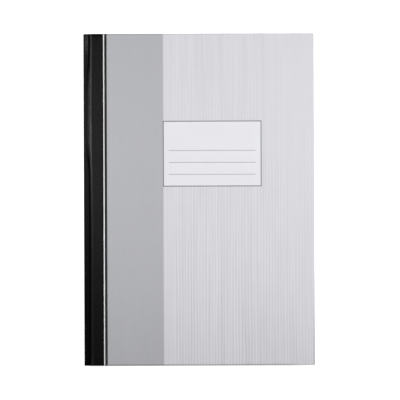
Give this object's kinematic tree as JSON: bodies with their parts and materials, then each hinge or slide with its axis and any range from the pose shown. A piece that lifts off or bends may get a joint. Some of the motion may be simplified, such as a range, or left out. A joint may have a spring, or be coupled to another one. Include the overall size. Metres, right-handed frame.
{
  "type": "incoming mail register",
  "caption": "Hardbound A4 register for logging incoming mail: sewn gatherings in a quarter-bound case with a black spine strip and pale striped boards.",
  "frame": {"origin": "middle of the underside, on the surface that the closed book lies on", "axes": "+Z out of the front cover, +Y to the head, +X from the spine to the fore-edge"},
  "size_m": [0.2108, 0.3034, 0.016],
  "materials": {
    "cover_paper": "printed cover paper with a thin clear film, pale grey with fine stripes",
    "spine_strip": "black leatherette, fine grain, soft gloss",
    "board": "raw grey board",
    "page_paper": "uncoated writing paper, ruled",
    "endpaper": "plain uncoated paper",
    "gauze": "open cotton gauze",
    "band": "woven cotton band",
    "thread": "waxed linen thread"
  },
  "bodies": {
    "block": {"spine_strip": "spine_strip", "spine_inlay": "board", "spine_gauze": "gauze", "head_band": "band", "tail_band": "band", "gathering_06": "page_paper", "sewing_thread_06": "thread", "gathering_07": "page_paper", "sewing_thread_07": "thread", "gathering_08": "page_paper", "sewing_thread_08": "thread", "gathering_09": "page_paper", "sewing_thread_09": "thread", "gathering_10": "page_paper", "sewing_thread_10": "thread", "gathering_11": "page_paper", "sewing_thread_11": "thread"},
    "front_cover": {"front_cover_paper": "cover_paper", "front_board": "board", "front_spine_strip": "spine_strip", "front_gauze_flange": "gauze", "front_pastedown": "endpaper"},
    "front_flyleaf": {"front_flyleaf": "endpaper"},
    "back_cover": {"back_cover_paper": "cover_paper", "back_board": "board", "back_spine_strip": "spine_strip", "back_gauze_flange": "gauze", "back_pastedown": "endpaper"},
    "back_flyleaf": {"back_flyleaf": "endpaper"},
    "leaves_01": {"gathering_01": "page_paper", "sewing_thread_01": "thread"},
    "leaves_02": {"gathering_02": "page_paper", "sewing_thread_02": "thread"},
    "leaves_03": {"gathering_03": "page_paper", "sewing_thread_03": "thread"},
    "leaves_04": {"gathering_04": "page_paper", "sewing_thread_04": "thread"},
    "leaves_05": {"gathering_05": "page_paper", "sewing_thread_05": "thread"},
    "leaves_12": {"gathering_12": "page_paper", "sewing_thread_12": "thread"}
  },
  "joints": [
    {"name": "front_cover_hinge", "type": "hinge", "parent": "block", "child": "front_cover", "pos_m": [-0.10403, 0, 0.0138], "axis": [0, -1, 0], "range_deg": [0, 180]},
    {"name": "back_cover_hinge", "type": "hinge", "parent": "block", "child": "back_cover", "pos_m": [-0.10403, 0, 0.00223], "axis": [0, 1, 0], "range_deg": [0, 180]},
    {"name": "front_flyleaf_turn", "type": "hinge", "parent": "block", "child": "front_flyleaf", "pos_m": [-0.10403, 0, 0.0138], "axis": [0, -1, 0], "range_deg": [0, 180]},
    {"name": "leaves_01_turn", "type": "hinge", "parent": "block", "child": "leaves_01", "pos_m": [-0.10403, 0, 0.0138], "axis": [0, -1, 0], "range_deg": [0, 180]},
    {"name": "leaves_02_turn", "type": "hinge", "parent": "block", "child": "leaves_02", "pos_m": [-0.10403, 0, 0.0138], "axis": [0, -1, 0], "range_deg": [0, 180]},
    {"name": "leaves_03_turn", "type": "hinge", "parent": "block", "child": "leaves_03", "pos_m": [-0.10403, 0, 0.0138], "axis": [0, -1, 0], "range_deg": [0, 180]},
    {"name": "leaves_04_turn", "type": "hinge", "parent": "block", "child": "leaves_04", "pos_m": [-0.10403, 0, 0.0138], "axis": [0, -1, 0], "range_deg": [0, 180]},
    {"name": "leaves_05_turn", "type": "hinge", "parent": "block", "child": "leaves_05", "pos_m": [-0.10403, 0, 0.0138], "axis": [0, -1, 0], "range_deg": [0, 180]},
    {"name": "back_flyleaf_turn", "type": "hinge", "parent": "block", "child": "back_flyleaf", "pos_m": [-0.10403, 0, 0.00223], "axis": [0, 1, 0], "range_deg": [0, 180]},
    {"name": "leaves_12_turn", "type": "hinge", "parent": "block", "child": "leaves_12", "pos_m": [-0.10403, 0, 0.00223], "axis": [0, 1, 0], "range_deg": [0, 180]}
  ],
  "couplings": [
    {"joint": "front_flyleaf_turn", "follows": "front_cover_hinge", "ratio": 0.985},
    {"joint": "leaves_01_turn", "follows": "front_cover_hinge", "ratio": 0.965},
    {"joint": "leaves_02_turn", "follows": "front_cover_hinge", "ratio": 0.05},
    {"joint": "leaves_03_turn", "follows": "front_cover_hinge", "ratio": 0.03},
    {"joint": "leaves_04_turn", "follows": "front_cover_hinge", "ratio": 0.017},
    {"joint": "leaves_05_turn", "follows": "front_cover_hinge", "ratio": 0.008},
    {"joint": "back_flyleaf_turn", "follows": "back_cover_hinge", "ratio": 0.985},
    {"joint": "leaves_12_turn", "follows": "back_cover_hinge", "ratio": 0.965}
  ]
}
